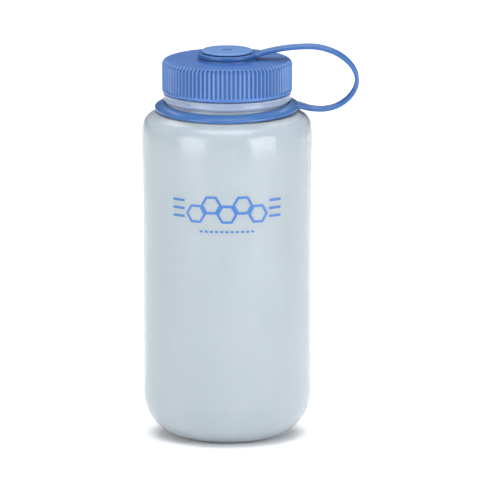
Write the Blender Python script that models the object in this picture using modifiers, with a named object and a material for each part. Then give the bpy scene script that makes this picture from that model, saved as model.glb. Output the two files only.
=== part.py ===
"""A one-litre wide-mouth bottle whose screw cap is kept on the neck by a loop-shaped tether.

Metres, +Z up. The origin is on the bottle's axis, in the plane that the bottle stands on.
The tether's loop is on the +X side. Five nodes come out of it:

bottle_body       the blow-moulded bottle, with its threaded neck, bead and recessed base
screw_cap         the ribbed cap, with its own thread, plug seal and a hub on top
retaining_button  the snap-in button that holds the tether on the cap's hub
tether_neck_half  the tether's neck ring and the lower half of its strap
tether_cap_half   the tether's cap ring and the upper half of its strap
"""

import math

import bmesh
import bpy
from mathutils import Vector
from mathutils.geometry import interpolate_bezier

GAP = 0.0003

# Bottle body
BODY_RADIUS = 0.04365
BULGE_RADIUS = 0.0445
SWELL_BOTTOM = 0.108
BULGE_HEIGHT = 0.1538
SWELL_POWER = 1.6
INNER_SWELL_HEIGHTS = (0.124, 0.139)
OUTER_SWELL_HEIGHTS = (0.146, 0.136, 0.126, 0.117)
SHOULDER_WIDTH = 0.0167
SHOULDER_RISE = 0.0173
SHOULDER_POWER = 3.9
COLLAR_INNER = 0.0366
COLLAR_OUTER = 0.0398
COLLAR_RISE = 0.0008
HEEL_WIDTH = 0.0208
HEEL_RISE = 0.0232
WALL = 0.0013
BASE_RECESS = 0.0010
RECESS_RADIUS = 0.0175
STANDING_RING_INNER = 0.0195
BODY_SEGMENTS = 48
HUB_SEGMENTS = 32

# Neck, up from the shoulder
GROOVE_RADIUS = 0.0317
NECK_FILLET = 0.0013
BEAD_RADIUS = 0.03325
BEAD_BOTTOM = 0.1764
BEAD_TOP = 0.1815
BEAD_ROUND = 0.0009
FINISH_RADIUS = 0.0299
BORE_RADIUS = 0.0274
NECK_INNER_RADIUS = 0.0298
LIP_TOP = 0.1963
LIP_ROUND = 0.0006

# Thread, the same helix on the neck and in the cap
PITCH = 0.0254 / 6
THREAD_BASE_WIDTH = 0.0020
THREAD_CREST_WIDTH = 0.0009
THREAD_ROOTED = 0.0004
THREAD_FADE = math.radians(24)
THREAD_LEAST_RISE = 0.05
NECK_THREAD_CREST = 0.0313
NECK_THREAD_BOTTOM = 0.18795
NECK_THREAD_TURNS = 1.5
CAP_THREAD_CREST = 0.03035
CAP_THREAD_TURNS = 1.0
CAP_THREAD_DROP = 0.00165

# Screw cap
CAP_RADIUS = 0.03387
CAP_BOTTOM = 0.1819
CAP_TOP = 0.1986
CAP_EDGE = 0.0024
CAP_EDGE_ANGLES = (0, 30, 60, 90)
CAP_FOOT_CHAMFER = 0.0006
RIB_COUNT = 90
RIB_DEPTH = 0.0006
RIB_BOTTOM = 0.1838
SKIRT_INNER_RADIUS = 0.03175
PLATE_UNDERSIDE = 0.1966
PLUG_OUTER_RADIUS = 0.0270
PLUG_INNER_RADIUS = 0.0258
PLUG_BOTTOM = 0.1926
PLUG_TAPER = 0.0003
PLUG_TAPER_HEIGHT = 0.001
PEDESTAL_RADIUS = 0.0130
PEDESTAL_TOP = 0.19975
HUB_ROOT_DEPTH = 0.0008
HUB_RADIUS = 0.0090
HUB_TOP = 0.2024
HUB_ROUND = 0.0004
SOCKET_RADIUS = 0.0042
SOCKET_GROOVE_RADIUS = 0.0049
SOCKET_FLOOR = 0.1974
SOCKET_GROOVE_BOTTOM = 0.1987
SOCKET_GROOVE_TOP = 0.2001
OVERCUT = 0.001

# Retaining button
BUTTON_RADIUS = 0.0132
BUTTON_TOP = 0.2039
BUTTON_UNDERSIDE = 0.2027
BUTTON_EDGE_TOP = 0.2035
DIMPLE_RADIUS = 0.0030
DIMPLE_DEPTH = 0.0012
DIMPLE_TAPER = 0.0002
STEM_RADIUS = SOCKET_RADIUS - GAP
STEM_BOTTOM = 0.1979
SNAP_RADIUS = SOCKET_GROOVE_RADIUS - GAP
SNAP_BOTTOM = 0.1991
SNAP_TOP = 0.1997
SNAP_SLOPE = 0.0005

# Tether
RING_INNER_RADIUS = 0.0323
RING_OUTER_RADIUS = 0.0376
RING_EDGE_BOTTOM = 0.1740
RING_EDGE_TOP = 0.1752
RING_TOP = 0.1772
RING_TOP_INNER = BEAD_RADIUS + 0.0005
RING_LIP_TOP = 0.1759
CAP_RING_INNER_RADIUS = 0.0095
CAP_RING_OUTER_RADIUS = 0.0154
CAP_RING_BOTTOM = 0.20005
CAP_RING_TOP = 0.2022
STRAP_WIDTH = 0.0080
STRAP_THICKNESS = 0.0022
STRAP_FLARE = 0.0055
STRAP_FLARE_LENGTH = 0.009
STRAP_ROOT_IN_CAP_RING = 0.0118
STRAP_ROOT_IN_NECK_RING = (0.0352, 0.1747)
NECK_RING_EXIT = (RING_OUTER_RADIUS, 0.1746)
NECK_RING_EXIT_HANDLE = (0.0020, -0.0002)
CAP_RING_EXIT_HANDLE = (0.0050, 0.0018)
LOOP_TOP = (0.0428, 0.2054)
LOOP_TOP_HANDLES = (0.0125, 0.0126)
LOOP_SIDE = (0.0675, 0.1876)
LOOP_SIDE_HANDLES = (0.0094, 0.0070)
LOOP_BOTTOM = (0.0489, 0.1724)
LOOP_BOTTOM_HANDLES = (0.0062, 0.0106)
STRAP_POINTS = 14

CAP_BLUE = (0.10, 0.22, 0.50, 1.0)
TETHER_BLUE = (0.12, 0.24, 0.52, 1.0)
MILKY_WHITE = (0.72, 0.78, 0.84, 1.0)


def clear_scene():
    """Removes the start-up objects."""
    for item in list(bpy.data.objects):
        bpy.data.objects.remove(item, do_unlink=True)


def new_collection(name):
    """A collection under the scene's own."""
    collection = bpy.data.collections.new(name)
    bpy.context.scene.collection.children.link(collection)
    return collection


def plastic(name, colour, roughness):
    """A moulded plastic of one colour."""
    material = bpy.data.materials.new(name)
    material.use_nodes = True
    shader = material.node_tree.nodes["Principled BSDF"]
    shader.inputs["Base Color"].default_value = colour
    shader.inputs["Roughness"].default_value = roughness
    shader.inputs["Metallic"].default_value = 0.0
    return material


def place(name, mesh, collection):
    """An object of this mesh at the world's origin, which is on every joint's axis."""
    item = bpy.data.objects.new(name, mesh)
    collection.objects.link(item)
    return item


def helper(item):
    """Marks an object that only cuts, or is joined to, another one."""
    item.hide_render = True
    item.display_type = "WIRE"
    return item


def arc(centre, radii, start, end, steps):
    """Points of an elliptical arc in the profile plane, with its angles in degrees."""
    points = []
    for step in range(steps + 1):
        angle = math.radians(start + (end - start) * step / steps)
        across = centre[0] + radii[0] * math.cos(angle)
        up = centre[1] + radii[1] * math.sin(angle)
        points.append((across, up))
    return points


def turned(name, profile, collection, segments, ring=False):
    """Turns a profile of (radius, height) points that runs down its outer side.

    A ring's profile is a closed loop. Any other starts and ends on the axis.
    """
    mesh = bpy.data.meshes.new(name)
    corners = [(radius, 0.0, height) for radius, height in profile]
    edges = [(index, index + 1) for index in range(len(corners) - 1)]
    if ring:
        edges.append((len(corners) - 1, 0))
    mesh.from_pydata(corners, edges, [])
    item = place(name, mesh, collection)
    screw = item.modifiers.new("Turn", "SCREW")
    screw.axis = "Z"
    screw.steps = segments
    screw.render_steps = segments
    screw.use_merge_vertices = True
    screw.merge_threshold = 0.00001
    screw.use_smooth_shade = True
    return item


def boolean(item, other, operation):
    """Joins another object to this one, or cuts it away."""
    modifier = item.modifiers.new(operation.title() + " " + other.name, "BOOLEAN")
    modifier.operation = operation
    modifier.solver = "EXACT"
    modifier.object = other


def swell_radius(height):
    """The body's radius where it widens towards the bulge under the shoulder."""
    share = (height - SWELL_BOTTOM) / (BULGE_HEIGHT - SWELL_BOTTOM)
    return BODY_RADIUS + (BULGE_RADIUS - BODY_RADIUS) * share**SWELL_POWER


def collar(across):
    """How much higher the shoulder stands where the tether's neck ring rests on it."""
    share = (COLLAR_OUTER - across) / (COLLAR_OUTER - COLLAR_INNER)
    share = min(1.0, max(0.0, share))
    return COLLAR_RISE * share * share * (3 - 2 * share)


def shoulder(inset, inner_end, steps):
    """The shoulder's curve, from near the neck out and down to the bulge."""
    width = SHOULDER_WIDTH - inset
    rise = SHOULDER_RISE - inset
    centre = BULGE_RADIUS - SHOULDER_WIDTH
    power = 2 / SHOULDER_POWER
    share = (inner_end - centre) / width
    start = math.acos(share ** (1 / power))
    points = []
    for step in range(steps + 1):
        angle = start * (1 - step / steps)
        across = centre + width * math.cos(angle) ** power
        up = BULGE_HEIGHT + rise * math.sin(angle) ** power
        points.append((across, up + collar(across)))
    return points


def heel(inset, floor, steps):
    """The heel's quarter ellipse, from the side wall down to the standing ring."""
    centre = (BODY_RADIUS - HEEL_WIDTH, HEEL_RISE)
    return arc(centre, (HEEL_WIDTH - inset, HEEL_RISE - floor), 0, -90, steps)


def bottle_inside():
    """The inside profile, from the axis at the base up to the lip's inner edge."""
    floor = BASE_RECESS + WALL
    neck_root = GROOVE_RADIUS + NECK_FILLET - WALL
    points = [(0.0, floor), (RECESS_RADIUS, floor)]
    points += reversed(heel(WALL, WALL, 5))
    points.append((BODY_RADIUS - WALL, SWELL_BOTTOM))
    for height in INNER_SWELL_HEIGHTS:
        points.append((swell_radius(height) - WALL, height))
    points += reversed(shoulder(WALL, neck_root, 6))
    shoulder_top = points[-1][1]
    points.append((NECK_INNER_RADIUS, shoulder_top + NECK_FILLET))
    points.append((NECK_INNER_RADIUS, BEAD_BOTTOM))
    points.append((BORE_RADIUS, BEAD_TOP))
    points.append((BORE_RADIUS, LIP_TOP - LIP_ROUND))
    return points


def bottle_outside():
    """The outside profile, from the lip down to the axis at the base."""
    lip_in = (BORE_RADIUS + LIP_ROUND, LIP_TOP)
    lip_out = (FINISH_RADIUS - LIP_ROUND, LIP_TOP)
    points = [lip_in, lip_out]
    points.append((FINISH_RADIUS, LIP_TOP - LIP_ROUND))
    points.append((FINISH_RADIUS, BEAD_TOP + BEAD_ROUND))
    points.append((FINISH_RADIUS + BEAD_ROUND, BEAD_TOP))
    round_across = BEAD_RADIUS - BEAD_ROUND
    rounds = (BEAD_ROUND, BEAD_ROUND)
    points += arc((round_across, BEAD_TOP - BEAD_ROUND), rounds, 90, 0, 3)
    points += arc((round_across, BEAD_BOTTOM + BEAD_ROUND), rounds, 0, -90, 3)
    points.append((GROOVE_RADIUS, BEAD_BOTTOM - GAP))
    neck_root = GROOVE_RADIUS + NECK_FILLET
    slope = shoulder(0.0, neck_root, 10)
    root_centre = (neck_root, slope[0][1] + NECK_FILLET)
    points += arc(root_centre, (NECK_FILLET, NECK_FILLET), 180, 270, 3)[:-1]
    points += slope
    for height in OUTER_SWELL_HEIGHTS:
        points.append((swell_radius(height), height))
    points.append((BODY_RADIUS, SWELL_BOTTOM))
    points += heel(0.0, 0.0, 9)
    points.append((STANDING_RING_INNER, 0.0))
    points.append((RECESS_RADIUS, BASE_RECESS))
    points.append((0.0, BASE_RECESS))
    return points


def thread(name, wall_radius, crest_radius, bottom, turns, collection):
    """A helical ridge with its foot sunk in the wall and both its ends faded into it.

    It starts at the -Y side and rises anticlockwise, which is a right-hand thread.
    """
    inward = crest_radius < wall_radius
    root_radius = wall_radius + (THREAD_ROOTED if inward else -THREAD_ROOTED)
    depth = abs(crest_radius - wall_radius)
    steps = int(turns * BODY_SEGMENTS)
    mesh = bmesh.new()
    sections = []
    for step in range(steps + 1):
        along = turns * math.tau * step / steps
        angle = along - math.pi / 2
        height = bottom + PITCH * along / math.tau
        ends = min(along, turns * math.tau - along)
        fade = min(1.0, ends / THREAD_FADE)
        reach = root_radius + (crest_radius - root_radius) * max(fade, THREAD_LEAST_RISE)
        sunk = THREAD_ROOTED / depth * (THREAD_BASE_WIDTH - THREAD_CREST_WIDTH) / 2
        foot = THREAD_BASE_WIDTH / 2 + sunk
        crest = THREAD_CREST_WIDTH / 2
        corners = ((root_radius, -foot), (reach, -crest), (reach, crest), (root_radius, foot))
        section = []
        for radius, rise in corners:
            place_at = (radius * math.cos(angle), radius * math.sin(angle), height + rise)
            section.append(mesh.verts.new(place_at))
        sections.append(section)
    for before, after in zip(sections, sections[1:]):
        for index in range(4):
            beside = (index + 1) % 4
            mesh.faces.new((before[index], before[beside], after[beside], after[index]))
    mesh.faces.new(sections[0])
    mesh.faces.new(reversed(sections[-1]))
    bmesh.ops.recalc_face_normals(mesh, faces=mesh.faces)
    data = bpy.data.meshes.new(name)
    mesh.to_mesh(data)
    mesh.free()
    return helper(place(name, data, collection))


def make_bottle(parts, helpers):
    """The bottle: one turned wall, and a thread on its neck."""
    bottle = turned("bottle_body", bottle_inside() + bottle_outside(), parts, BODY_SEGMENTS)
    ridge = thread(
        "neck_thread", FINISH_RADIUS, NECK_THREAD_CREST, NECK_THREAD_BOTTOM, NECK_THREAD_TURNS, helpers
    )
    boolean(bottle, ridge, "UNION")
    bottle.data.materials.append(plastic("milky_bottle_plastic", MILKY_WHITE, 0.42))


def cap_levels():
    """(height, radius, rib depth) down the cap's outside."""
    levels = []
    for degrees in CAP_EDGE_ANGLES:
        angle = math.radians(degrees)
        radius = CAP_RADIUS - CAP_EDGE + CAP_EDGE * math.sin(angle)
        height = CAP_TOP - CAP_EDGE + CAP_EDGE * math.cos(angle)
        levels.append((height, radius, RIB_DEPTH * (degrees > 45)))
    levels.append((RIB_BOTTOM, CAP_RADIUS, RIB_DEPTH))
    levels.append((RIB_BOTTOM - RIB_DEPTH, CAP_RADIUS, 0.0))
    levels.append((CAP_BOTTOM + CAP_FOOT_CHAMFER, CAP_RADIUS, 0.0))
    levels.append((CAP_BOTTOM, CAP_RADIUS - CAP_FOOT_CHAMFER, 0.0))
    return levels


def ribbed_blank(name, collection):
    """The cap's outside as a solid: one ridge and one valley for each rib."""
    mesh = bmesh.new()
    rings = []
    for height, radius, depth in cap_levels():
        ring = []
        for index in range(2 * RIB_COUNT):
            angle = math.pi * index / RIB_COUNT - math.pi / 2
            reach = radius - depth * (index % 2)
            ring.append(mesh.verts.new((reach * math.cos(angle), reach * math.sin(angle), height)))
        rings.append(ring)
    for upper, lower in zip(rings, rings[1:]):
        for index in range(len(upper)):
            beside = (index + 1) % len(upper)
            mesh.faces.new((upper[index], lower[index], lower[beside], upper[beside]))
    mesh.faces.new(rings[0])
    mesh.faces.new(reversed(rings[-1]))
    data = bpy.data.meshes.new(name)
    mesh.to_mesh(data)
    mesh.free()
    data.shade_smooth()
    data.set_sharp_from_angle(angle=math.radians(25))
    return place(name, data, collection)


def cap_cavity():
    """The cap's inside: the space round its plug seal, open at the bottom."""
    below = CAP_BOTTOM - OVERCUT
    return [
        (0.0, PLATE_UNDERSIDE),
        (PLUG_INNER_RADIUS, PLATE_UNDERSIDE),
        (PLUG_INNER_RADIUS, PLUG_BOTTOM),
        (PLUG_OUTER_RADIUS - PLUG_TAPER, PLUG_BOTTOM),
        (PLUG_OUTER_RADIUS, PLUG_BOTTOM + PLUG_TAPER_HEIGHT),
        (PLUG_OUTER_RADIUS, PLATE_UNDERSIDE),
        (SKIRT_INNER_RADIUS, PLATE_UNDERSIDE),
        (SKIRT_INNER_RADIUS, below),
        (0.0, below),
    ]


def cap_hub():
    """The pedestal and the hub that the tether's cap ring turns on."""
    root = CAP_TOP - HUB_ROOT_DEPTH
    return [
        (0.0, HUB_TOP),
        (HUB_RADIUS - HUB_ROUND, HUB_TOP),
        (HUB_RADIUS, HUB_TOP - HUB_ROUND),
        (HUB_RADIUS, PEDESTAL_TOP),
        (PEDESTAL_RADIUS - HUB_ROUND, PEDESTAL_TOP),
        (PEDESTAL_RADIUS, PEDESTAL_TOP - HUB_ROUND),
        (PEDESTAL_RADIUS, root),
        (0.0, root),
    ]


def button_socket():
    """The blind socket in the hub, with the groove that the button snaps into."""
    above = HUB_TOP + OVERCUT
    return [
        (0.0, above),
        (SOCKET_RADIUS, above),
        (SOCKET_RADIUS, SOCKET_GROOVE_TOP + GAP),
        (SOCKET_GROOVE_RADIUS, SOCKET_GROOVE_TOP),
        (SOCKET_GROOVE_RADIUS, SOCKET_GROOVE_BOTTOM),
        (SOCKET_RADIUS, SOCKET_GROOVE_BOTTOM - GAP),
        (SOCKET_RADIUS, SOCKET_FLOOR),
        (0.0, SOCKET_FLOOR),
    ]


def make_cap(parts, helpers):
    """The cap: a ribbed blank, hollowed, with its thread, its hub and the button's socket."""
    cap = ribbed_blank("screw_cap", parts)
    cavity = helper(turned("cap_cavity", cap_cavity(), helpers, BODY_SEGMENTS))
    hub = helper(turned("cap_hub", cap_hub(), helpers, HUB_SEGMENTS))
    socket = helper(turned("button_socket", button_socket(), helpers, HUB_SEGMENTS))
    bottom = NECK_THREAD_BOTTOM - CAP_THREAD_DROP
    ridge = thread(
        "cap_thread", SKIRT_INNER_RADIUS, CAP_THREAD_CREST, bottom, CAP_THREAD_TURNS, helpers
    )
    boolean(cap, cavity, "DIFFERENCE")
    boolean(cap, ridge, "UNION")
    boolean(cap, hub, "UNION")
    boolean(cap, socket, "DIFFERENCE")
    cap.data.materials.append(plastic("cap_plastic", CAP_BLUE, 0.35))


def make_button(parts):
    """The button: a slightly domed disc with a dimple, and a stem with a snap bead."""
    dimple_floor = BUTTON_TOP - DIMPLE_DEPTH
    profile = [
        (0.0, dimple_floor),
        (DIMPLE_RADIUS - DIMPLE_TAPER, dimple_floor),
        (DIMPLE_RADIUS, BUTTON_TOP),
        (BUTTON_RADIUS - GAP, BUTTON_EDGE_TOP),
        (BUTTON_RADIUS, BUTTON_EDGE_TOP - GAP),
        (BUTTON_RADIUS, BUTTON_UNDERSIDE),
        (STEM_RADIUS, BUTTON_UNDERSIDE),
        (STEM_RADIUS, SNAP_TOP + SNAP_SLOPE),
        (SNAP_RADIUS, SNAP_TOP),
        (SNAP_RADIUS, SNAP_BOTTOM),
        (STEM_RADIUS - GAP, STEM_BOTTOM),
        (0.0, STEM_BOTTOM),
    ]
    button = turned("retaining_button", profile, parts, HUB_SEGMENTS)
    button.data.materials.append(plastic("button_plastic", CAP_BLUE, 0.33))


def neck_ring():
    """The neck ring's section: a cone round the bead and a lip that the bead holds down."""
    return [
        (RING_TOP_INNER, RING_TOP),
        (RING_TOP_INNER + GAP, RING_TOP),
        (RING_OUTER_RADIUS, RING_EDGE_TOP),
        (RING_OUTER_RADIUS, RING_EDGE_BOTTOM),
        (RING_OUTER_RADIUS - GAP, RING_EDGE_BOTTOM - GAP),
        (RING_INNER_RADIUS, RING_EDGE_BOTTOM - GAP),
        (RING_INNER_RADIUS, RING_LIP_TOP),
        (RING_TOP_INNER, RING_LIP_TOP),
    ]


def cap_ring():
    """The cap ring's section."""
    return [
        (CAP_RING_INNER_RADIUS, CAP_RING_TOP - GAP),
        (CAP_RING_INNER_RADIUS + GAP, CAP_RING_TOP),
        (CAP_RING_OUTER_RADIUS - GAP, CAP_RING_TOP),
        (CAP_RING_OUTER_RADIUS, CAP_RING_TOP - GAP),
        (CAP_RING_OUTER_RADIUS, CAP_RING_BOTTOM + GAP),
        (CAP_RING_OUTER_RADIUS - GAP, CAP_RING_BOTTOM),
        (CAP_RING_INNER_RADIUS + GAP, CAP_RING_BOTTOM),
        (CAP_RING_INNER_RADIUS, CAP_RING_BOTTOM + GAP),
    ]


def bend(start, start_handle, end_handle, end):
    """Points of a smooth bend in the XZ plane, without its last point."""
    knots = [Vector((across, 0.0, up)) for across, up in (start, start_handle, end_handle, end)]
    return interpolate_bezier(*knots, STRAP_POINTS)[:-1]


def strap_upper_route():
    """The strap's middle line from inside the cap ring out to the top and down to the side."""
    middle = (CAP_RING_BOTTOM + CAP_RING_TOP) / 2
    edge = (CAP_RING_OUTER_RADIUS, middle)
    leave = (edge[0] + CAP_RING_EXIT_HANDLE[0], middle + CAP_RING_EXIT_HANDLE[1])
    over = (LOOP_TOP[0] - LOOP_TOP_HANDLES[0], LOOP_TOP[1])
    down = (LOOP_TOP[0] + LOOP_TOP_HANDLES[1], LOOP_TOP[1])
    side = (LOOP_SIDE[0], LOOP_SIDE[1] + LOOP_SIDE_HANDLES[0])
    end = (LOOP_SIDE[0], LOOP_SIDE[1] + GAP / 2)
    route = [Vector((STRAP_ROOT_IN_CAP_RING, 0.0, middle))]
    route += bend(edge, leave, over, LOOP_TOP)
    route += bend(LOOP_TOP, down, side, end)
    route.append(Vector((end[0], 0.0, end[1])))
    return route


def strap_lower_route():
    """The strap's middle line from inside the neck ring out to the bottom and up to the side."""
    root = STRAP_ROOT_IN_NECK_RING
    edge = NECK_RING_EXIT
    leave = (edge[0] + NECK_RING_EXIT_HANDLE[0], edge[1] + NECK_RING_EXIT_HANDLE[1])
    under = (LOOP_BOTTOM[0] - LOOP_BOTTOM_HANDLES[0], LOOP_BOTTOM[1])
    rise = (LOOP_BOTTOM[0] + LOOP_BOTTOM_HANDLES[1], LOOP_BOTTOM[1])
    side = (LOOP_SIDE[0], LOOP_SIDE[1] - LOOP_SIDE_HANDLES[1])
    end = (LOOP_SIDE[0], LOOP_SIDE[1] - GAP / 2)
    route = [Vector((root[0], 0.0, root[1]))]
    route += bend(edge, leave, under, LOOP_BOTTOM)
    route += bend(LOOP_BOTTOM, rise, side, end)
    route.append(Vector((end[0], 0.0, end[1])))
    return route


def strap(name, route, collection):
    """Half of the strap: a band that is wider where it leaves its ring."""
    mesh = bmesh.new()
    rows = []
    length = 0.0
    for index, point in enumerate(route):
        if index:
            length += (point - route[index - 1]).length
        near_ring = max(0.0, 1 - length / STRAP_FLARE_LENGTH)
        half_width = (STRAP_WIDTH + STRAP_FLARE * near_ring**2) / 2
        rows.append([mesh.verts.new((point.x, side * half_width, point.z)) for side in (-1, 1)])
    for before, after in zip(rows, rows[1:]):
        mesh.faces.new((before[0], after[0], after[1], before[1]))
    data = bpy.data.meshes.new(name)
    mesh.to_mesh(data)
    mesh.free()
    item = helper(place(name, data, collection))
    solidify = item.modifiers.new("Thickness", "SOLIDIFY")
    solidify.thickness = STRAP_THICKNESS
    solidify.offset = 0.0
    return item


def make_tether(parts, helpers):
    """The tether, one moulding cut at the outermost point of its strap, where its halves move apart."""
    blue = plastic("tether_plastic", TETHER_BLUE, 0.4)
    lower = turned("tether_neck_half", neck_ring(), parts, BODY_SEGMENTS, ring=True)
    upper = turned("tether_cap_half", cap_ring(), parts, HUB_SEGMENTS, ring=True)
    boolean(lower, strap("strap_lower_half", strap_lower_route(), helpers), "UNION")
    boolean(upper, strap("strap_upper_half", strap_upper_route(), helpers), "UNION")
    lower.data.materials.append(blue)
    upper.data.materials.append(blue)


def main():
    clear_scene()
    parts = new_collection("loop_top_bottle")
    helpers = new_collection("cutters")
    make_bottle(parts, helpers)
    make_cap(parts, helpers)
    make_button(parts)
    make_tether(parts, helpers)


main()
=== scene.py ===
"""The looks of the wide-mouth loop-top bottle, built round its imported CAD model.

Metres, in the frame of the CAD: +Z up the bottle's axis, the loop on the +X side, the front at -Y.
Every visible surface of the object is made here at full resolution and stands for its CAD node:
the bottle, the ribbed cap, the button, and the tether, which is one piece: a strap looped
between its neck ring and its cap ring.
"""

import math

import bpy
import numpy as np
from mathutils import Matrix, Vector
from mathutils.geometry import interpolate_bezier


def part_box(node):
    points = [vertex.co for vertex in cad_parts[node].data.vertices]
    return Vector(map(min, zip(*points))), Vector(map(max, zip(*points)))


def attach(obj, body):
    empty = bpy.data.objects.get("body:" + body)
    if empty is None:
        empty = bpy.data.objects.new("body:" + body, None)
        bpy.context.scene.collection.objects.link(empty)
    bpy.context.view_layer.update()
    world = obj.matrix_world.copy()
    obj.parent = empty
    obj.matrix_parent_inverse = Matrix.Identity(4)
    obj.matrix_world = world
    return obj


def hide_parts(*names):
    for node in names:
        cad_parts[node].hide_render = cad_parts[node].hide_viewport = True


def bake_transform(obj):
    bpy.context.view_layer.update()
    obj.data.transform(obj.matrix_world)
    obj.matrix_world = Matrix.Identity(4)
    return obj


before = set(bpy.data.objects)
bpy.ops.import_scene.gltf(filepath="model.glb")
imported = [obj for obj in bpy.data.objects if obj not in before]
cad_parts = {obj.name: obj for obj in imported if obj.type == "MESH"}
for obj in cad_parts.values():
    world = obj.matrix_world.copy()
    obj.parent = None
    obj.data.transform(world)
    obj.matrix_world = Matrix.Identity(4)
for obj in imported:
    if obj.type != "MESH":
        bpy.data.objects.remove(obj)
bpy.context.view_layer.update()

BOTTLE_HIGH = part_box("bottle_body")[1]
CAP_LOW, CAP_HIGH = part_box("screw_cap")
BUTTON_LOW, BUTTON_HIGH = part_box("retaining_button")

MM = 0.001
TAU = math.tau

# Bottle body, as in the CAD
BULGE_RADIUS = BOTTLE_HIGH.x
SWELL_DEPTH = 0.85 * MM
BODY_RADIUS = BULGE_RADIUS - SWELL_DEPTH
SWELL_BOTTOM = 108 * MM
BULGE_HEIGHT = 153.8 * MM
SWELL_POWER = 1.6
SHOULDER_WIDTH = 16.7 * MM
SHOULDER_RISE = 17.3 * MM
SHOULDER_POWER = 3.9
COLLAR_INNER = 36.6 * MM
COLLAR_OUTER = 39.8 * MM
COLLAR_RISE = 0.8 * MM
HEEL_WIDTH = 20.8 * MM
HEEL_RISE = 23.2 * MM
WALL = 1.3 * MM
BASE_RECESS = 1.0 * MM
RECESS_RADIUS = 17.5 * MM
STANDING_RING_INNER = 19.5 * MM
STANDING_RING_EDGE = 0.3 * MM
RECESS_EDGE = 0.4 * MM
RECESS_EDGE_RISE = 0.08 * MM
RECESS_CENTRE = 0.6 * MM
INSIDE_CENTRE = 1.0 * MM

# How finely the bottle's profiles are divided
INSIDE_SPACING = 6 * MM
SWELL_SPACING = 2.2 * MM
OUTSIDE_SPACING = 3.2 * MM
RECESS_SPACING = 0.7 * MM
FINISH_SPACING = 0.25 * MM
BOTTLE_COLUMNS = 224

# Marks of the mould: the seam down both sides and the pinched-off line across the base
SEAM_HEIGHT = 0.07 * MM
SEAM_WIDTH = 0.28 * MM
SEAM_START = 6 * MM
SEAM_END = 3 * MM
SEAM_COLUMN = 0.3 * MM
SEAM_COLUMNS = (0.2, 0.45, 0.7, 1.0, 1.4, 2.0, 3.0, 4.4)
SEAM_CLEARANCE = 0.4
WANDER = 0.04 * MM
WANDER_LOW = 20 * MM
WANDER_HIGH = 60 * MM
WANDER_LOBES = 3
WANDER_TWIST = 60
PINCH_HEIGHT = 0.35 * MM
PINCH_WIDTH = 0.5 * MM
PINCH_HALF_LENGTH = 15 * MM
PINCH_FADE = 2 * MM

# Neck. Its groove is shallower than in the CAD, so that no dark gap shows behind the loose ring.
GROOVE_RADIUS = 32.1 * MM
GROOVE_ROUND = 0.4 * MM
NECK_FILLET = 0.9 * MM
BEAD_RADIUS = 33.25 * MM
BEAD_BOTTOM = 176.4 * MM
BEAD_TOP = 181.5 * MM
BEAD_ROUND = 0.8 * MM
BEAD_WAIST_HEIGHT = 179.9 * MM
BEAD_WAIST_DEPTH = 0.30 * MM
BEAD_WAIST_HALF = 0.45 * MM
BEAD_WAIST_EDGE = 0.05 * MM
BEAD_STEP_HEIGHT = 178.3 * MM
BEAD_STEP_ROUND = 0.7 * MM
BEAD_SLOPE_INSET = 0.75 * MM
BEAD_SLOPE_DROP = 1.2 * MM
BEAD_FOOT_INSET = 1.4 * MM
BEAD_FOOT_ROUND = 0.5 * MM
FINISH_RADIUS = 29.9 * MM
BORE_RADIUS = 27.4 * MM
NECK_INNER_RADIUS = 29.8 * MM
LIP_TOP = BOTTLE_HIGH.z
LIP_ROUND = 0.6 * MM
SAME_RADIUS = 0.01 * MM

# Thread
PITCH = 25.4 / 6 * MM
THREAD_BASE_WIDTH = 2.0 * MM
THREAD_CREST_WIDTH = 0.9 * MM
THREAD_DEPTH = 1.4 * MM
THREAD_FADE = math.radians(24)
NECK_THREAD_BOTTOM = 187.95 * MM
NECK_THREAD_TURNS = 1.5
CAP_THREAD_BOTTOM = NECK_THREAD_BOTTOM - 1.65 * MM
CAP_THREAD_TURNS = 1.0

# Cap
CAP_RADIUS = -CAP_LOW.y
CAP_BOTTOM = CAP_LOW.z
CAP_TOP = 198.6 * MM
CAP_EDGE = 2.4 * MM
RIB_COUNT = 90
RIB_DEPTH = 0.72 * MM
RIB_BOTTOM = 183.8 * MM
FLUTE_SHARPNESS = 0.6
FLUTE_END_BELOW = 0.7 * MM
FLUTE_END_ABOVE = 0.5 * MM
FLUTE_END_MARGIN = 0.1 * MM
FLUTE_START = 0.06
FLUTE_FULL = 0.30
RIM_RING = 1.0 * MM
FOOT_ROUND = 0.9 * MM
FLUTE_END_SPACING = 0.2 * MM
COLUMNS_PER_RIB = 12
COARSE_COLUMNS_PER_RIB = 3
SKIRT_INNER_RADIUS = 31.75 * MM
SKIRT_CHAMFER = 0.3 * MM
CAP_THREAD_TOP = 193.5 * MM
THREAD_SPACING = 0.3 * MM
PLATE_UNDERSIDE = 196.6 * MM
UNDERSIDE_RING = 10 * MM
PLATE_RINGS = (22 * MM, 27 * MM)
PLUG_OUTER_RADIUS = 27.0 * MM
PLUG_INNER_RADIUS = 25.8 * MM
PLUG_BOTTOM = 192.6 * MM
PLUG_TAPER = 0.2 * MM
PLUG_TAPER_HEIGHT = 1 * MM
PLUG_ROUND = 0.4 * MM
PEDESTAL_RADIUS = 15.0 * MM  # wider than in the CAD, so no dark gap shows under the cap ring
PEDESTAL_TOP = 199.75 * MM
HUB_RADIUS = 9.0 * MM
HUB_TOP = CAP_HIGH.z
HUB_ROUND = 0.35 * MM
SOCKET_RADIUS = 4.2 * MM
SOCKET_GROOVE_RADIUS = 4.9 * MM
SOCKET_GROOVE_BOTTOM = 198.7 * MM
SOCKET_GROOVE_TOP = 200.1 * MM
SOCKET_GROOVE_SLOPE = 0.3 * MM
SOCKET_FLOOR = 197.4 * MM

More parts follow.
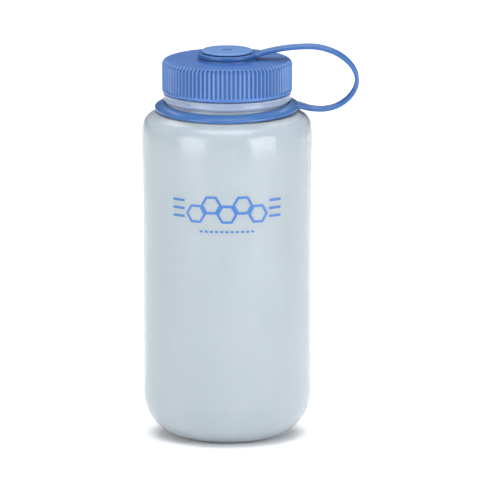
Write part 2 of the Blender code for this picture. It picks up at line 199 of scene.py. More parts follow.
# Button
BUTTON_RADIUS = BUTTON_HIGH.x
BUTTON_TOP = BUTTON_HIGH.z
BUTTON_UNDERSIDE = 202.7 * MM
DIMPLE_RADIUS = 3.0 * MM
DIMPLE_DEPTH = 1.2 * MM
DIMPLE_EDGE = 0.12 * MM
DIMPLE_TAPER = 0.15 * MM
DIMPLE_FLOOR_EDGE = 0.5 * MM
DIMPLE_FLOOR_RISE = 0.25 * MM
BUTTON_DOME_DROP = 0.30 * MM
BUTTON_DOME_POWER = 2.2
BUTTON_DOME_RINGS = 12
BUTTON_EDGE = 0.35 * MM
BUTTON_UNDER_EDGE = 0.1 * MM
BUTTON_COLUMNS = 160
STEM_GAP = 0.3 * MM
SNAP_TOP = 200.2 * MM
SNAP_FULL_TOP = 199.7 * MM
SNAP_FULL_BOTTOM = 199.1 * MM

# Tether
RING_INNER_RADIUS = 32.3 * MM
RING_OUTER_RADIUS = 37.6 * MM
RING_EDGE_BOTTOM = 174.0 * MM
RING_EDGE_TOP = 175.2 * MM
RING_TOP = 177.2 * MM
RING_TOP_INNER = 33.42 * MM
RING_TOP_ROUND = 0.2 * MM
RING_TOP_WIDTH = 0.5 * MM
RING_TOP_FALL = 0.05 * MM
RING_STEP_INSET = 0.75 * MM
RING_STEP_RISE = 0.35 * MM
RING_RIM_INSET = 0.55 * MM
RING_RIM_RISE = 0.05 * MM
RING_RIM_ROUND = 0.3 * MM
RING_SKIRT = 0.3 * MM
RING_SKIRT_ROUND = 0.45 * MM
RING_INNER_EDGE = 0.3 * MM
RING_LIP_TOP = 175.9 * MM
RING_COLUMNS = 240
CAP_RING_INNER_RADIUS = 9.5 * MM
CAP_RING_OUTER_RADIUS = 15.4 * MM
CAP_RING_BOTTOM = 200.05 * MM
CAP_RING_TOP = 202.2 * MM
CAP_RING_INNER_ROUND = 0.3 * MM
CAP_RING_UPPER_ROUND = 0.55 * MM
CAP_RING_LOWER_ROUND = 0.45 * MM
CAP_RING_COLUMNS = 160
STRAP_WIDTH = 8.0 * MM
STRAP_THICKNESS = 2.2 * MM
STRAP_WEB = 1.4 * MM
STRAP_FLARE = 5.5 * MM
STRAP_FLARE_LENGTH = 9 * MM
STRAP_ROOTS = (11.8 * MM, 13.6 * MM)
CAP_RING_EXIT_HANDLE = (5 * MM, 1.8 * MM)
LOOP_TOP = (42.8 * MM, 205.4 * MM)
LOOP_TOP_HANDLES = (12.5 * MM, 12.6 * MM)
LOOP_SIDE = (67.5 * MM, 187.6 * MM)
LOOP_SIDE_HANDLES = (9.4 * MM, 7 * MM)
LOOP_BOTTOM = (48.9 * MM, 172.4 * MM)
LOOP_BOTTOM_HANDLES = (10.6 * MM, 6.2 * MM)
NECK_RING_EXIT_HEIGHT = 174.6 * MM
NECK_RING_EXIT_HANDLE = (2 * MM, -0.2 * MM)
NECK_RING_ROOT = (35.2 * MM, 174.7 * MM)

# How the loose neck ring hangs: its drop, the strap's pull, and how far its top leans on the neck
RING_DROOP = 1.05 * MM
RING_PULL = 0.7 * MM
RING_LEAN = 1.1 * MM
LEAN_WIDTH = 1.5 * MM
LEAN_START = 0.1
LEAN_FULL = 0.5
LEAN_STRAP_SHARE = 0.25
HANG_TOP = 182 * MM
HANG_FADE_START = 39 * MM
HANG_FADE_END = 50 * MM


# ---------------------------------------------------------------- mesh tools


class Shell:
    """A mesh grown ring by ring round the Z axis."""

    def __init__(self):
        self.points = []
        self.faces = []

    def ring(self, radii, heights, angles):
        """Adds a loop of points and gives their numbers."""
        first = len(self.points)
        across = radii * np.cos(angles)
        along = radii * np.sin(angles)
        self.points += list(zip(across.tolist(), along.tolist(), heights.tolist()))
        return list(range(first, len(self.points)))

    def pole(self, height):
        """Adds a point on the axis."""
        self.points.append((0.0, 0.0, float(height)))
        return [len(self.points) - 1]

    def band(self, upper, lower):
        """Joins two loops. One may have a whole number of times the other's points."""
        count = max(1, min(len(upper), len(lower)))
        if count == 1:
            self.fan(upper, lower)
            return
        above = len(upper) // count
        below = len(lower) // count
        for index in range(count):
            top = [upper[(index * above + step) % len(upper)] for step in range(above + 1)]
            bottom = [lower[(index * below + step) % len(lower)] for step in range(below + 1)]
            self.faces.append([top[0]] + bottom + top[:0:-1])

    def fan(self, upper, lower):
        """Joins a loop to a point on the axis."""
        loop = lower if len(upper) == 1 else upper
        for index, point in enumerate(loop):
            beside = loop[(index + 1) % len(loop)]
            if len(upper) == 1:
                self.faces.append((upper[0], point, beside))
            else:
                self.faces.append((point, lower[0], beside))

    def turn(self, profile, angles, relief=None, before=None):
        """Turns a profile of (radius, height) points that runs down its outer side.

        A point on the axis becomes a pole. It gives the first and the last loop.
        """
        first = None
        for radius, height in profile:
            if radius <= 0.0:
                loop = self.pole(height)
            else:
                radii = np.full(len(angles), radius)
                heights = np.full(len(angles), height)
                if relief:
                    radii, heights = relief(radii, heights, angles)
                loop = self.ring(radii, heights, angles)
            if before:
                self.band(before, loop)
            before = loop
            first = first or loop
        return first, before

    def make(self, name, sharp=35):
        """An object of the finished mesh, shaded smooth up to an angle in degrees."""
        return make_object(name, self.points, self.faces, sharp)


def make_object(name, points, faces, sharp):
    """A smooth-shaded object at the world's origin."""
    mesh = bpy.data.meshes.new(name)
    mesh.from_pydata(points, [], faces)
    mesh.shade_smooth()
    mesh.set_sharp_from_angle(angle=math.radians(sharp))
    made = bpy.data.objects.new(name, mesh)
    bpy.context.scene.collection.objects.link(made)
    return made


def even_angles(count, start=-math.pi / 2):
    """Angles round the axis, evenly spaced, the first at the front."""
    return start + TAU * np.arange(count) / count


def arc(centre, radii, start, end, steps):
    """Points of an elliptical arc, with its angles in degrees."""
    points = []
    for step in range(steps + 1):
        angle = math.radians(start + (end - start) * step / steps)
        across = centre[0] + radii[0] * math.cos(angle)
        up = centre[1] + radii[1] * math.sin(angle)
        points.append((across, up))
    return points


def rounded(corner, radius, start, end, steps=4):
    """A round of this radius inside a profile's corner, from one angle to another."""
    middle = math.radians((start + end) / 2)
    across = corner[0] - radius * math.copysign(1, math.cos(middle))
    up = corner[1] - radius * math.copysign(1, math.sin(middle))
    return arc((across, up), (radius, radius), start, end, steps)


def refined(points, spacing):
    """The same profile with more points on its long straight stretches."""
    result = [points[0]]
    for end in points[1:]:
        start = result[-1]
        length = math.dist(start, end)
        steps = max(1, math.ceil(length / spacing))
        for step in range(1, steps + 1):
            share = step / steps
            across = start[0] + (end[0] - start[0]) * share
            up = start[1] + (end[1] - start[1]) * share
            result.append((across, up))
    return result


def smooth_step(low, high, value):
    """0 below low, 1 above high, and smooth between them."""
    share = np.clip((value - low) / (high - low), 0.0, 1.0)
    return share * share * (3 - 2 * share)


def thread_rise(angles, height, bottom, turns):
    """How much of its full depth a thread has at this height, at each angle."""
    rise = np.zeros(len(angles))
    half_base = THREAD_BASE_WIDTH / 2
    half_crest = THREAD_CREST_WIDTH / 2
    for lap in range(int(turns) + 1):
        along = (angles + math.pi / 2) % TAU + lap * TAU
        off = np.abs(height - bottom - PITCH * along / TAU)
        flank = smooth_step(half_base, half_crest, off)
        ends = np.minimum(along, turns * TAU - along)
        fade = smooth_step(0.0, THREAD_FADE, ends)
        rise = np.maximum(rise, flank * fade)
    return rise


# ---------------------------------------------------------------- materials


class Nodes:
    """A short way to write a material's nodes."""

    def __init__(self, name):
        self.material = bpy.data.materials.new(name)
        self.material.use_nodes = True
        self.tree = self.material.node_tree
        self.shader = self.tree.nodes["Principled BSDF"]

    def add(self, kind, **values):
        """Adds a node and sets its sockets, or its own settings, by name."""
        node = self.tree.nodes.new(kind)
        for name, value in values.items():
            socket = name.replace("_", " ")
            found = [item for item in node.inputs if item.name.lower() == socket.lower()]
            if found and not hasattr(type(node), name):
                found[0].default_value = value
            else:
                setattr(node, name, value)
        return node

    def link(self, start, end):
        self.tree.links.new(start, end)

    def place(self, stretch=(1, 1, 1)):
        """Object coordinates, in metres, stretched along the axes."""
        spot = self.add("ShaderNodeTexCoord")
        scale = self.add("ShaderNodeMapping")
        scale.inputs["Scale"].default_value = stretch
        self.link(spot.outputs["Object"], scale.inputs["Vector"])
        return scale.outputs["Vector"]

    def noise(self, scale, detail=3.0, roughness=0.55, stretch=(1, 1, 1)):
        """Noise from 0 to 1."""
        made = self.add("ShaderNodeTexNoise", scale=scale, detail=detail, roughness=roughness)
        self.link(self.place(stretch), made.inputs["Vector"])
        return made.outputs["Fac"]

    def ramp(self, value, stops):
        """A colour ramp through (position, colour) stops."""
        made = self.add("ShaderNodeValToRGB")
        elements = made.color_ramp.elements
        while len(elements) < len(stops):
            elements.new(0.5)
        for element, (position, colour) in zip(elements, stops):
            element.position = position
            element.color = colour
        self.link(value, made.inputs["Fac"])
        return made.outputs["Color"]

    def range(self, value, low, high, from_low=0.3, from_high=0.7):
        """Maps a value onto another range."""
        made = self.add("ShaderNodeMapRange")
        made.inputs["From Min"].default_value = from_low
        made.inputs["From Max"].default_value = from_high
        made.inputs["To Min"].default_value = low
        made.inputs["To Max"].default_value = high
        self.link(value, made.inputs["Value"])
        return made.outputs["Result"]

    def maths(self, operation, first, second):
        """One sum, of sockets or numbers."""
        made = self.add("ShaderNodeMath")
        made.operation = operation
        for index, value in enumerate((first, second)):
            if isinstance(value, (int, float)):
                made.inputs[index].default_value = value
            else:
                self.link(value, made.inputs[index])
        return made.outputs["Value"]

    def mix(self, share, first, second):
        """Mixes two colours."""
        made = self.add("ShaderNodeMix")
        made.data_type = "RGBA"
        for name, value in (("Factor", share), ("A", first), ("B", second)):
            socket = [item for item in made.inputs if item.name == name and item.enabled][0]
            if isinstance(value, bpy.types.NodeSocket):
                self.link(value, socket)
            else:
                socket.default_value = value
        return [item for item in made.outputs if item.enabled][0]

    def bump(self, height, distance, strength=1.0, after=None):
        """A bump of this height in metres."""
        made = self.add("ShaderNodeBump")
        made.inputs["Strength"].default_value = strength
        made.inputs["Distance"].default_value = distance
        self.link(height, made.inputs["Height"])
        if after:
            self.link(after, made.inputs["Normal"])
        return made.outputs["Normal"]

    def set(self, **values):
        """Sets the shader's own sockets to numbers, or links them."""
        for name, value in values.items():
            socket = self.shader.inputs[name.replace("_", " ")]
            if isinstance(value, bpy.types.NodeSocket):
                self.link(value, socket)
            else:
                socket.default_value = value


# Colours, and what red, green and blue are multiplied by for the painted highlights on sharp edges and
# rib crests and the painted shade in the flutes
MILKY_TONES = [
    (0.30, (0.310, 0.359, 0.402, 1)),
    (0.52, (0.326, 0.375, 0.416, 1)),
    (0.72, (0.342, 0.390, 0.428, 1)),
]
MILKY_SCATTER = (1.0, 1.1, 1.3)
# Painted bounce light: near the cap and ring the neck's colour is mixed towards this blue
PAINTED_NECK_BOUNCE = (0.236, 0.292, 0.405, 1)
PAINTED_NECK_BOUNCE_LOW = 172 * MM
PAINTED_NECK_BOUNCE_HIGH = 178 * MM
CLOUD_SHARE = 0.7

BLUE_STOPS = (0.28, 0.50, 0.74)
CAP_BLUE = ((0.036, 0.108, 0.335, 1), (0.044, 0.123, 0.355, 1), (0.052, 0.140, 0.375, 1))
BUTTON_BLUE = ((0.070, 0.165, 0.400, 1), (0.078, 0.180, 0.420, 1), (0.088, 0.195, 0.440, 1))
TETHER_BLUE = ((0.022, 0.082, 0.265, 1), (0.027, 0.093, 0.283, 1), (0.034, 0.106, 0.300, 1))
PAINTED_EDGE_HIGHLIGHT = (3.0, 2.0, 1.3)
CREST_PAINTED_HIGHLIGHT = (2.1, 1.52, 1.06)
FLUTE_PAINTED_SHADE = (0.38, 0.47, 0.57)

INK_TONES = [(0.3, (0.028, 0.125, 0.370, 1)), (0.7, (0.036, 0.142, 0.405, 1))]
STAGE_UNEVENNESS = 0.995


def milky_plastic():
    """Translucent blow-moulded polyethylene: uneven in thickness, faintly drawn along its height.

    It is painted bluer up the neck: painted bounce light from the blue cap and ring.
    """
    nodes = Nodes("milky_polyethylene")
    clouds = nodes.noise(scale=22.0, detail=4.0, roughness=0.6, stretch=(1, 1, 0.55))
    drawn = nodes.noise(scale=90.0, detail=2.0, roughness=0.5, stretch=(1, 1, 0.08))
    cloudy = nodes.maths("MULTIPLY", clouds, CLOUD_SHARE)
    streaky = nodes.maths("MULTIPLY", drawn, 1 - CLOUD_SHARE)
    colour = nodes.ramp(nodes.maths("ADD", cloudy, streaky), MILKY_TONES)
    parts = nodes.add("ShaderNodeSeparateXYZ")
    nodes.link(nodes.place(), parts.inputs["Vector"])
    # How much painted blue bounce light the neck gets, rising with height
    painted_bounce_share = nodes.range(parts.outputs["Z"], 0.0, 1.0, PAINTED_NECK_BOUNCE_LOW, PAINTED_NECK_BOUNCE_HIGH)
    peel = nodes.noise(scale=420.0, detail=2.0, roughness=0.5)
    flow = nodes.noise(scale=160.0, detail=1.0, roughness=0.4, stretch=(1, 1, 0.10))
    bump = nodes.bump(peel, distance=0.02 * MM, strength=0.5)
    bump = nodes.bump(flow, distance=0.03 * MM, strength=0.5, after=bump)
    nodes.set(
        Base_Color=nodes.mix(painted_bounce_share, colour, PAINTED_NECK_BOUNCE),
        Roughness=nodes.range(clouds, 0.13, 0.18),
        Normal=bump,
        Subsurface_Weight=0.7,
        Subsurface_Scale=6 * MM,
        Subsurface_Radius=MILKY_SCATTER,
        IOR=1.45,
        Specular_IOR_Level=0.45,
    )
    return nodes.material


def scaled(colour, factors):
    """A colour with each of its channels multiplied."""
    return tuple(value * factor for value, factor in zip(colour, factors)) + (1,)


def blue_plastic(name, tones, rough, edge_highlight, ribbed=False):
    """Moulded blue plastic with paler painted highlights on its sharp edges and a fine grain.

    On the ribbed cap the crests get a paler painted highlight and the flutes get painted shade.
    """
    nodes = Nodes(name)
    dark, _, light = tones
    clouds = nodes.noise(scale=55.0, detail=4.0, roughness=0.6)
    body = nodes.ramp(clouds, list(zip(BLUE_STOPS, tones)))
    point = nodes.add("ShaderNodeNewGeometry").outputs["Pointiness"]
    # Painted highlight: sharp edges, found by pointiness, are painted paler
    edge = nodes.range(point, 0.0, edge_highlight, 0.50, 0.56)
    colour = nodes.mix(edge, body, scaled(light, PAINTED_EDGE_HIGHLIGHT))
    if ribbed:
        crest = nodes.add("ShaderNodeAttribute", attribute_name="crest").outputs["Fac"]
        # Painted shade in the flutes and painted highlight on the rib crests, read from the crest
        # attribute
        flute_shade_share = nodes.range(crest, 1.0, 0.0, 0.0, 0.45)
        crest_highlight_share = nodes.range(crest, 0.0, 1.0, 0.55, 1.0)
        colour = nodes.mix(flute_shade_share, colour, scaled(dark, FLUTE_PAINTED_SHADE))
        colour = nodes.mix(crest_highlight_share, colour, scaled(light, CREST_PAINTED_HIGHLIGHT))
    fine = nodes.noise(scale=2600.0, detail=2.0, roughness=0.6)
    handling = nodes.noise(scale=120.0, detail=3.0, roughness=0.5)
    nodes.set(
        Base_Color=colour,
        Roughness=nodes.range(handling, rough - 0.02, rough + 0.03),
        Normal=nodes.bump(fine, distance=0.02 * MM, strength=0.10),
        IOR=1.49,
        Specular_IOR_Level=0.30,
    )
    return nodes.material


def ink():
    """Screen-printed ink, slightly uneven in cover."""
    nodes = Nodes("printed_ink")
    cover = nodes.noise(scale=900.0, detail=3.0, roughness=0.6)
    colour = nodes.ramp(cover, INK_TONES)
    nodes.set(Base_Color=colour, Roughness=nodes.range(cover, 0.30, 0.42), Specular_IOR_Level=0.4)
    return nodes.material


def plain_stage(name, value, rough):
    """A matt pale surface for the floor."""
    nodes = Nodes(name)
    tone = nodes.noise(scale=3.0, detail=2.0)
    low = value * STAGE_UNEVENNESS
    colour = nodes.ramp(tone, [(0.3, (low, low, low, 1)), (0.7, (value, value, value, 1))])
    nodes.set(Base_Color=colour, Roughness=rough, Specular_IOR_Level=0.1)
    return nodes.material


# ---------------------------------------------------------------- bottle


def swell_radius(height):
    """The body's radius where it widens towards the bulge under the shoulder."""
    share = max(0.0, height - SWELL_BOTTOM) / (BULGE_HEIGHT - SWELL_BOTTOM)
    return BODY_RADIUS + (BULGE_RADIUS - BODY_RADIUS) * share**SWELL_POWER


def shoulder(inset, inner_end, steps):
    """The shoulder's curve, from near the neck out and down to the bulge."""
    width = SHOULDER_WIDTH - inset
    rise = SHOULDER_RISE - inset
    centre = BULGE_RADIUS - SHOULDER_WIDTH
    power = 2 / SHOULDER_POWER
    share = (inner_end - centre) / width
    start = math.acos(share ** (1 / power))
    points = []
    for step in range(steps + 1):
        angle = start * (1 - step / steps)
        across = centre + width * math.cos(angle) ** power
        up = BULGE_HEIGHT + rise * math.sin(angle) ** power
        collar = COLLAR_RISE * float(smooth_step(COLLAR_OUTER, COLLAR_INNER, across))
        points.append((across, up + collar))
    return points


def heel(inset, floor, steps):
    """The heel's quarter ellipse, from the side wall down to the standing ring."""
    centre = (BODY_RADIUS - HEEL_WIDTH, HEEL_RISE)
    return arc(centre, (HEEL_WIDTH - inset, HEEL_RISE - floor), 0, -90, steps)


def swell(inset, spacing):
    """The gently swelling wall under the bulge, from top to bottom."""
    steps = math.ceil((BULGE_HEIGHT - SWELL_BOTTOM) / spacing)
    points = []
    for step in range(1, steps + 1):
        height = BULGE_HEIGHT + (SWELL_BOTTOM - BULGE_HEIGHT) * step / steps
        points.append((swell_radius(height) - inset, height))
    return points


def bottle_inside():
    """The inside profile, from the axis at the base up to the lip."""
    floor = BASE_RECESS + WALL
    neck_root = GROOVE_RADIUS + NECK_FILLET - WALL
    dome = shoulder(WALL, neck_root, steps=24)
    points = [(0.0, floor), (INSIDE_CENTRE, floor), (RECESS_RADIUS, floor)]
    points += reversed(heel(WALL, WALL, steps=20))
    points += reversed(swell(WALL, INSIDE_SPACING))
    points += reversed(dome)
    turn_up = (neck_root, dome[0][1] + NECK_FILLET)
    points += arc(turn_up, (neck_root - NECK_INNER_RADIUS, NECK_FILLET), 270, 180, 6)[1:]
    points.append((NECK_INNER_RADIUS, BEAD_BOTTOM))
    points.append((BORE_RADIUS, BEAD_TOP))
    points.append((BORE_RADIUS, LIP_TOP - LIP_ROUND))
    return refined(points, INSIDE_SPACING)


def neck_lip():
    """The lip and the threaded finish, down to the top of the bead."""
    rounds = (LIP_ROUND, LIP_ROUND)
    lip = arc((BORE_RADIUS + LIP_ROUND, LIP_TOP - LIP_ROUND), rounds, 180, 90, 5)
    lip += arc((FINISH_RADIUS - LIP_ROUND, LIP_TOP - LIP_ROUND), rounds, 90, 0, 5)
    small = BEAD_ROUND / 2
    foot = arc((FINISH_RADIUS + small, BEAD_TOP + small), (small, small), 180, 270, 5)
    return lip + refined([lip[-1]] + foot, FINISH_SPACING)[1:]


def neck_bead():
    """The bead under the cap: two ridges with a shallow waist between them."""
    rounds = (BEAD_ROUND, BEAD_ROUND)
    bead = arc((BEAD_RADIUS - BEAD_ROUND, BEAD_TOP - BEAD_ROUND), rounds, 90, -25, 9)
    waist = BEAD_RADIUS - BEAD_WAIST_DEPTH
    bead.append((waist + BEAD_WAIST_EDGE, BEAD_WAIST_HEIGHT + BEAD_WAIST_HALF))
    bead.append((waist, BEAD_WAIST_HEIGHT))
    bead.append((waist + BEAD_WAIST_EDGE, BEAD_WAIST_HEIGHT - BEAD_WAIST_HALF))
    rounds = (BEAD_STEP_ROUND, BEAD_STEP_ROUND)
    bead += arc((BEAD_RADIUS - BEAD_STEP_ROUND, BEAD_STEP_HEIGHT), rounds, 30, -60, 8)
    bead.append((BEAD_RADIUS - BEAD_SLOPE_INSET, BEAD_STEP_HEIGHT - BEAD_SLOPE_DROP))
    foot = (BEAD_RADIUS - BEAD_FOOT_INSET, BEAD_BOTTOM + BEAD_FOOT_ROUND)
    return bead + arc(foot, (BEAD_FOOT_ROUND, BEAD_FOOT_ROUND), 0, -90, 4)


def bottle_neck():
    """The outside profile of the neck, from the lip down to the root of the shoulder."""
    groove = rounded((GROOVE_RADIUS, BEAD_BOTTOM), -GROOVE_ROUND, 90, 180, 4)
    return neck_lip() + neck_bead() + groove


def bottle_body_outside():
    """The outside profile of the body, from the shoulder's root down to the axis at the base."""
    neck_root = GROOVE_RADIUS + NECK_FILLET
    dome = shoulder(0.0, neck_root, steps=44)
    root = (neck_root, dome[0][1] + NECK_FILLET)
    points = arc(root, (NECK_FILLET, NECK_FILLET), 180, 270, 8)[:-1]
    points += dome
    points += swell(0.0, SWELL_SPACING)
    points += heel(0.0, 0.0, steps=40)
    points.append((STANDING_RING_INNER + STANDING_RING_EDGE, 0.0))
    points.append((STANDING_RING_INNER, RECESS_EDGE_RISE))
    points.append((RECESS_RADIUS + RECESS_EDGE, BASE_RECESS - RECESS_EDGE_RISE))
    points += refined([(RECESS_RADIUS, BASE_RECESS), (RECESS_CENTRE, BASE_RECESS)], RECESS_SPACING)
    points.append((0.0, BASE_RECESS))
    return refined(points, OUTSIDE_SPACING)


def neck_relief(radii, heights, angles):
    """The thread on the neck."""
    rise = thread_rise(angles, heights[0], NECK_THREAD_BOTTOM, NECK_THREAD_TURNS)
    on_finish = abs(radii[0] - FINISH_RADIUS) < SAME_RADIUS
    return radii + rise * THREAD_DEPTH * on_finish, heights


def body_relief(radii, heights, angles):
    """The mould's seam down both sides, and the pinched-off line across the base."""
    height = heights[0]
    radius = radii[0]
    off_seam = radius * np.abs(np.sin(angles))
    if radius > RECESS_RADIUS + RECESS_EDGE / 4:
        seam = SEAM_HEIGHT * np.exp(-((off_seam / SEAM_WIDTH) ** 2))
        above_base = smooth_step(0.0, SEAM_START, height)
        off_neck = smooth_step(GROOVE_RADIUS, GROOVE_RADIUS + SEAM_END, radius)
        wander = WANDER * np.sin(WANDER_LOBES * angles + WANDER_TWIST * height)
        wander *= smooth_step(WANDER_LOW, WANDER_HIGH, height)
        grown = radii + (seam + wander) * above_base * off_neck
        return np.minimum(grown, BULGE_RADIUS), heights
    along = np.abs(radius * np.cos(angles))
    line = np.exp(-((off_seam / PINCH_WIDTH) ** 2))
    line *= smooth_step(PINCH_HALF_LENGTH, PINCH_HALF_LENGTH - PINCH_FADE, along)
    return radii, heights - PINCH_HEIGHT * line


def seam_angles(count):
    """Even angles, with more of them where the mould's seam runs down both sides."""
    one_side = np.array(SEAM_COLUMNS) * SEAM_COLUMN / BODY_RADIUS
    offsets = np.concatenate([-one_side[::-1], [0.0], one_side])
    even = even_angles(count)
    gap = TAU / count
    keep = np.abs(np.sin(even)) > np.sin(one_side[-1] + gap * SEAM_CLEARANCE)
    close = np.concatenate([offsets, offsets + math.pi])
    close = (close + math.pi / 2) % TAU - math.pi / 2
    return np.sort(np.concatenate([even[keep], close]))


def make_bottle():
    """The bottle: its inside, its threaded neck and its body, as one closed skin."""
    shell = Shell()
    angles = seam_angles(BOTTLE_COLUMNS)
    _, inside = shell.turn(bottle_inside(), angles)
    _, neck = shell.turn(bottle_neck(), angles, neck_relief, inside)
    shell.turn(bottle_body_outside(), angles, body_relief, neck)
    bottle = shell.make("bottle_shell", 40)
    bottle.data.materials.append(milky_plastic())
    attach(bottle, "bottle")
    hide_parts("bottle_body")
    return bottle


# ---------------------------------------------------------------- cap and button


def flute_share(angles):
    """How deep the flutes are at each angle, from 0 on a rib's crest to 1 between two ribs."""
    return (0.5 - 0.5 * np.cos((angles + math.pi / 2) * RIB_COUNT)) ** FLUTE_SHARPNESS


def rib_relief(radii, heights, angles):
    """Cuts the flutes between the ribs: they start where the plate's edge turns over."""
    height = heights[0]
    run_out = smooth_step(RIB_BOTTOM - FLUTE_END_BELOW, RIB_BOTTOM + FLUTE_END_ABOVE, height)
    up = max(0.0, (height - (CAP_TOP - CAP_EDGE)) / CAP_EDGE)
    out = math.sqrt(max(0.0, 1 - up * up))
    depth = RIB_DEPTH * flute_share(angles) * run_out * smooth_step(FLUTE_START, FLUTE_FULL, out)
    return radii - depth * out, heights - depth * up


def mark_crests(mesh):
    """Stores how far each point is a rib's crest, 1, or a flute's bottom, 0. It is 0.5 off the ribs."""
    spots = np.empty(len(mesh.vertices) * 3)
    mesh.vertices.foreach_get("co", spots)
    x, y, z = spots.reshape(-1, 3).T
    up = np.clip((z - (CAP_TOP - CAP_EDGE)) / CAP_EDGE, 0.0, 1.0)
    ribbed = smooth_step(FLUTE_START, FLUTE_FULL, np.sqrt(1 - up * up))
    ribbed *= smooth_step(RIB_BOTTOM - FLUTE_END_BELOW, RIB_BOTTOM + FLUTE_END_ABOVE, z)
    ribbed *= np.hypot(x, y) > CAP_RADIUS - CAP_EDGE
    # The cap's material uses these values to paint highlights on the crests and shade in the flutes
    crest = mesh.attributes.new("crest", "FLOAT", "POINT")
    crest.data.foreach_set("value", 0.5 + ribbed * (0.5 - flute_share(np.arctan2(y, x))))


def cap_thread_relief(radii, heights, angles):
    """The thread inside the cap's skirt."""
    rise = thread_rise(angles, heights[0], CAP_THREAD_BOTTOM, CAP_THREAD_TURNS)
    on_wall = abs(radii[0] - SKIRT_INNER_RADIUS) < SAME_RADIUS
    return radii - rise * THREAD_DEPTH * on_wall, heights


def cap_top_profile():
    """From the socket's floor on the axis, over the hub and pedestal, to near the plate's edge."""
    fine = HUB_ROUND
    points = [(0.0, SOCKET_FLOOR), (SOCKET_RADIUS, SOCKET_FLOOR)]
    points.append((SOCKET_RADIUS, SOCKET_GROOVE_BOTTOM - SOCKET_GROOVE_SLOPE))
    points.append((SOCKET_GROOVE_RADIUS, SOCKET_GROOVE_BOTTOM))
    points.append((SOCKET_GROOVE_RADIUS, SOCKET_GROOVE_TOP))
    points.append((SOCKET_RADIUS, SOCKET_GROOVE_TOP + SOCKET_GROOVE_SLOPE))
    points += [(SOCKET_RADIUS, HUB_TOP - fine), (SOCKET_RADIUS + fine, HUB_TOP)]
    points += rounded((HUB_RADIUS, HUB_TOP), fine, 90, 0)
    points.append((HUB_RADIUS, PEDESTAL_TOP))
    points += rounded((PEDESTAL_RADIUS, PEDESTAL_TOP), fine, 90, 0)
    points += arc((PEDESTAL_RADIUS + fine, CAP_TOP + fine), (fine, fine), 180, 270, 4)
    points += [(radius, CAP_TOP) for radius in PLATE_RINGS]
    return points


def cap_side_profile():
    """The plate's rounded edge, the ribbed side and the plain foot, finely divided."""
    centre = (CAP_RADIUS - CAP_EDGE, CAP_TOP - CAP_EDGE)
    edge = arc(centre, (CAP_EDGE, CAP_EDGE), 90, 0, 22)
    rim = [(CAP_RADIUS - CAP_EDGE - RIM_RING, CAP_TOP)]
    above = (CAP_RADIUS, RIB_BOTTOM + FLUTE_END_ABOVE + FLUTE_END_MARGIN)
    below = (CAP_RADIUS, RIB_BOTTOM - FLUTE_END_BELOW - FLUTE_END_MARGIN)
    foot = rounded((CAP_RADIUS, CAP_BOTTOM), FOOT_ROUND, 0, -90, 6)
    return rim + edge + refined([above, below], FLUTE_END_SPACING) + foot


def cap_inside_profile():
    """From the skirt's foot up its threaded wall, round the plug seal, to the axis."""
    low = (SKIRT_INNER_RADIUS, CAP_BOTTOM + SKIRT_CHAMFER)
    points = [(SKIRT_INNER_RADIUS + SKIRT_CHAMFER, CAP_BOTTOM)]
    points += refined([low, (SKIRT_INNER_RADIUS, CAP_THREAD_TOP)], THREAD_SPACING)
    points += [(SKIRT_INNER_RADIUS, PLATE_UNDERSIDE), (PLUG_OUTER_RADIUS, PLATE_UNDERSIDE)]
    points.append((PLUG_OUTER_RADIUS, PLUG_BOTTOM + PLUG_TAPER_HEIGHT))
    points += rounded((PLUG_OUTER_RADIUS - PLUG_TAPER, PLUG_BOTTOM), PLUG_ROUND, 0, -90)
    points += rounded((PLUG_INNER_RADIUS, PLUG_BOTTOM), PLUG_ROUND, -90, -180)
    points += [(PLUG_INNER_RADIUS, PLATE_UNDERSIDE), (UNDERSIDE_RING, PLATE_UNDERSIDE)]
    points.append((0.0, PLATE_UNDERSIDE))
    return points


def make_cap():
    """The cap: a plate with its hub, a ribbed skirt and a threaded inside."""
    shell = Shell()
    fine = even_angles(COLUMNS_PER_RIB * RIB_COUNT)
    coarse = even_angles(COARSE_COLUMNS_PER_RIB * RIB_COUNT)
    _, plate = shell.turn(cap_top_profile(), coarse)
    _, foot = shell.turn(cap_side_profile(), fine, rib_relief, plate)
    shell.turn(cap_inside_profile(), coarse, cap_thread_relief, foot)
    cap = shell.make("ribbed_cap", 38)
    mark_crests(cap.data)
    cap.data.materials.append(
        blue_plastic("cap_polypropylene", CAP_BLUE, rough=0.30, edge_highlight=0.50, ribbed=True)
    )
    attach(cap, "cap")
    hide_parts("screw_cap")
    return cap


